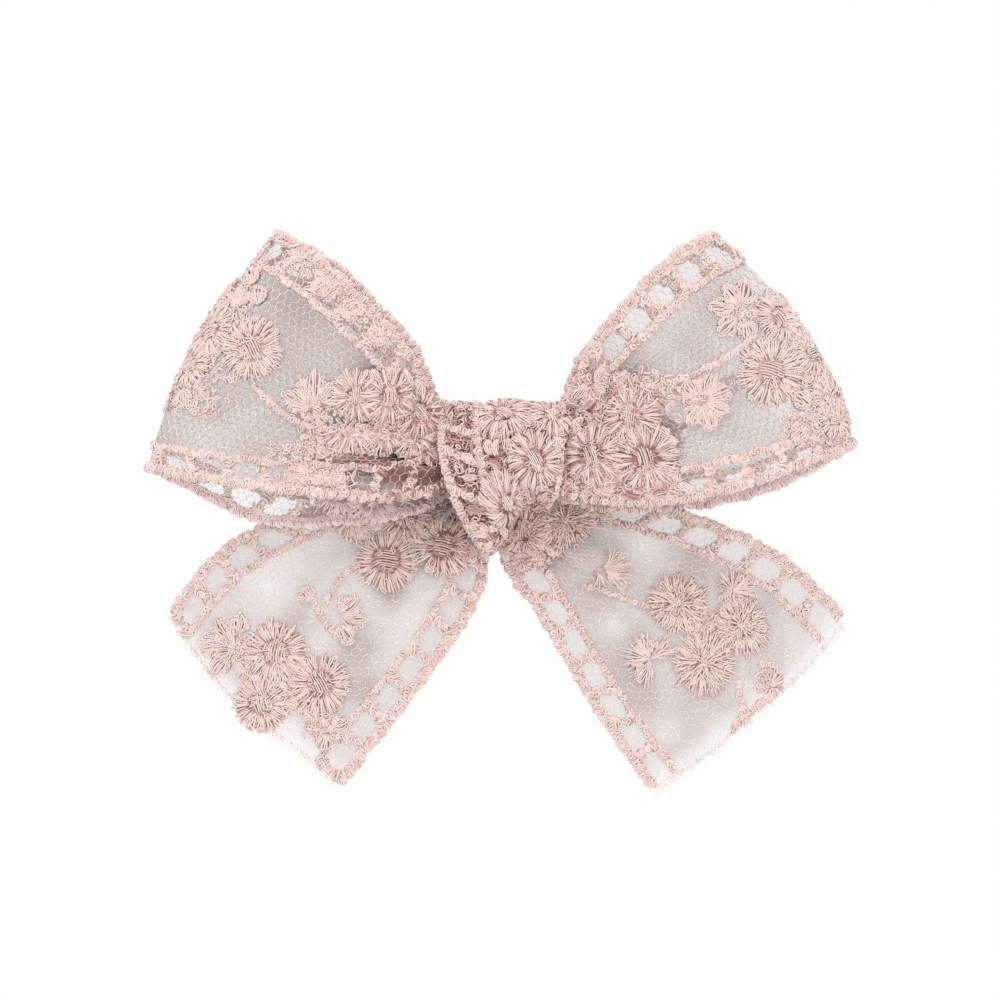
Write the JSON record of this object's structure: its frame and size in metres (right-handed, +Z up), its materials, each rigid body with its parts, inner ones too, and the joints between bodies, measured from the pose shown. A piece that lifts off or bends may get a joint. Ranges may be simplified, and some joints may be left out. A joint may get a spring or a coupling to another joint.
{
  "type": "hair bow",
  "caption": "Gathered lace ribbon bow with open loops, hanging tails and a wrapped knot, on a lined spring clip with a toothed jaw.",
  "frame": {"origin": "on the outer flat face of the toothed jaw, behind the middle of the knot", "axes": "+Z up the bow, from the tails to the loops; -Y out of the bow's face; +Y towards the head; +X from the clip's nose to its finger tabs"},
  "size_m": [0.1057, 0.0207, 0.0845],
  "materials": {
    "lace_ribbon": "matte embroidered net",
    "sewing_thread": "soft sheen",
    "glue": "cloudy, smooth",
    "grosgrain": "fine cross ribs",
    "clip_steel": "nickel plated, satin",
    "spring_steel": "bright wire"
  },
  "bodies": {
    "bow": {"loop_ribbon": "lace_ribbon", "tail_ribbon": "lace_ribbon", "knot_wrap": "lace_ribbon", "gathering_thread": "sewing_thread", "wrap_stitches": "sewing_thread", "glue_pad": "glue", "clip_lining": "grosgrain", "clip_upper_arm": "clip_steel", "clip_pin": "clip_steel", "clip_spring": "spring_steel"},
    "jaw": {"clip_lower_arm": "clip_steel"}
  },
  "joints": [
    {"name": "jaw_hinge", "type": "hinge", "parent": "bow", "child": "jaw", "pos_m": [0.013, -0.0028, 0], "axis": [0, 0, -1], "range_deg": [0, 35], "stiffness_Nm_per_rad": 0.02, "deforming": ["clip_spring"]}
  ]
}
